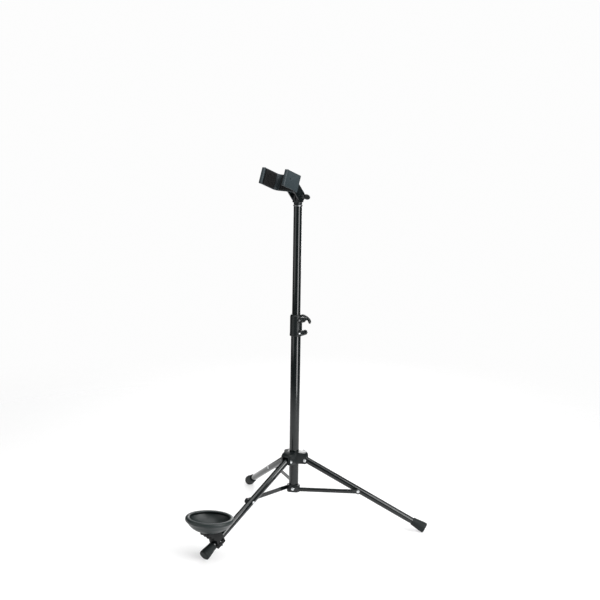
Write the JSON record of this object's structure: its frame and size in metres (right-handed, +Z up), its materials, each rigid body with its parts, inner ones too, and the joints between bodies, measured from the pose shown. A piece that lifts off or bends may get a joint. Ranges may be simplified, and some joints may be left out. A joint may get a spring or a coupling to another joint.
{
  "type": "instrument floor stand",
  "caption": "Folding tripod floor stand with a telescopic mast, a round cup clamped low on one leg and a tilting padded U-shaped cradle on top for a long leaning woodwind.",
  "frame": {"origin": "on the floor, below the middle of the footprint's bounding box", "axes": "+Z up along the mast, the cup and its leg towards -Y, the stand's own left and right along X"},
  "size_m": [0.6942, 0.6436, 1.0613],
  "materials": {
    "black_paint": "gloss black powder-coated steel",
    "black_plastic": "satin black moulded plastic with a fine grain",
    "rubber": "matt black rubber",
    "zinc": "bright zinc-plated steel"
  },
  "bodies": {
    "mast": {"lower_tube": "black_paint", "brace_hub": "black_plastic", "hub_pin_1": "zinc", "hub_pin_2": "zinc", "hub_pin_3": "zinc", "height_collar": "black_plastic", "collar_clamp_screw": "zinc", "collar_clamp_nut": "black_plastic"},
    "collar_wing": {"collar_wing_screw": "black_plastic"},
    "bush": {"guide_bush": "black_plastic"},
    "upper_mast": {"upper_tube": "black_paint", "tube_top_ring": "zinc", "head_fork": "black_plastic", "tube_end_plug": "black_plastic"},
    "crown": {"crown": "black_plastic", "leg_pin_1": "zinc", "leg_pin_2": "zinc", "leg_pin_3": "zinc"},
    "crown_wing": {"crown_wing_screw": "black_plastic"},
    "cup_unit": {"cup_bracket": "black_plastic", "bracket_strap": "black_plastic", "bracket_screw_1": "zinc", "bracket_screw_2": "zinc", "cup": "black_plastic", "cup_screw": "zinc", "cup_pad": "rubber"},
    "arm": {"tilt_arm": "black_paint", "cradle": "black_plastic", "cradle_screw_1": "zinc", "cradle_screw_2": "zinc", "cradle_pad_left": "rubber", "cradle_pad_right": "rubber", "cradle_pad_back": "rubber"},
    "tilt_knob": {"tilt_bolt": "black_plastic"},
    "leg_1": {"leg_1": "black_paint", "foot_1": "rubber", "leg_rivet_1": "zinc"},
    "brace_1": {"brace_1": "black_paint", "brace_rivet_1": "zinc", "brace_spacer_1": "black_plastic"},
    "leg_2": {"leg_2": "black_paint", "foot_2": "rubber", "leg_rivet_2": "zinc"},
    "brace_2": {"brace_2": "black_paint", "brace_rivet_2": "zinc", "brace_spacer_2": "black_plastic"},
    "leg_3": {"leg_3": "black_paint", "foot_3": "rubber", "leg_rivet_3": "zinc"},
    "brace_3": {"brace_3": "black_paint", "brace_rivet_3": "zinc", "brace_spacer_3": "black_plastic"}
  },
  "joints": [
    {"name": "crown_slide", "type": "slide", "parent": "mast", "child": "crown", "axis": [0, 0, 1], "range_m": [0, 0.2818]},
    {"name": "leg_fold_1", "type": "hinge", "parent": "crown", "child": "leg_1", "pos_m": [0, 0.0798, 0.19966], "axis": [1, 0, 0], "range_deg": [0, 62.2]},
    {"name": "brace_fold_1", "type": "hinge", "parent": "mast", "child": "brace_1", "pos_m": [0, 0.1138, 0.11116], "axis": [-1, 0, 0], "range_deg": [0, 78.52]},
    {"name": "leg_fold_2", "type": "hinge", "parent": "crown", "child": "leg_2", "pos_m": [0.02944, 0.1308, 0.19966], "axis": [-0.5, 0.866, 0], "range_deg": [0, 62.2]},
    {"name": "brace_fold_2", "type": "hinge", "parent": "mast", "child": "brace_2", "pos_m": [0, 0.1138, 0.11116], "axis": [0.5, -0.866, 0], "range_deg": [0, 78.52]},
    {"name": "leg_fold_3", "type": "hinge", "parent": "crown", "child": "leg_3", "pos_m": [-0.02944, 0.1308, 0.19966], "axis": [-0.5, -0.866, 0], "range_deg": [0, 62.2]},
    {"name": "brace_fold_3", "type": "hinge", "parent": "mast", "child": "brace_3", "pos_m": [0, 0.1138, 0.11116], "axis": [0.5, 0.866, 0], "range_deg": [0, 78.52]},
    {"name": "crown_screw_turn", "type": "hinge", "parent": "crown", "child": "crown_wing", "pos_m": [0, 0.1538, 0.20266], "axis": [0, 1, 0], "continuous": true},
    {"name": "cup_slide", "type": "slide", "parent": "leg_1", "child": "cup_unit", "axis": [0, 0.8846, 0.4664], "range_m": [-0.004, 0.1]},
    {"name": "mast_swivel", "type": "hinge", "parent": "mast", "child": "bush", "pos_m": [0, 0.1138, 0.615], "axis": [0, 0, 1], "continuous": true},
    {"name": "mast_height", "type": "slide", "parent": "bush", "child": "upper_mast", "axis": [0, 0, 1], "range_m": [-0.3, 0.12]},
    {"name": "collar_screw_turn", "type": "hinge", "parent": "mast", "child": "collar_wing", "pos_m": [0.0205, 0.1338, 0.619], "axis": [0, 1, 0], "continuous": true},
    {"name": "cradle_tilt", "type": "hinge", "parent": "upper_mast", "child": "arm", "pos_m": [0, 0.1138, 0.976], "axis": [1, 0, 0], "range_deg": [-45, 50]},
    {"name": "tilt_knob_turn", "type": "hinge", "parent": "arm", "child": "tilt_knob", "pos_m": [0.02, 0.1138, 0.976], "axis": [1, 0, 0], "continuous": true}
  ],
  "couplings": [
    {"joint": "leg_fold_1", "follows": "crown_slide", "rad_per_m": 3.8523},
    {"joint": "brace_fold_1", "follows": "crown_slide", "rad_per_m": 4.863},
    {"joint": "leg_fold_2", "follows": "crown_slide", "rad_per_m": 3.8523},
    {"joint": "brace_fold_2", "follows": "crown_slide", "rad_per_m": 4.863},
    {"joint": "leg_fold_3", "follows": "crown_slide", "rad_per_m": 3.8523},
    {"joint": "brace_fold_3", "follows": "crown_slide", "rad_per_m": 4.863}
  ]
}
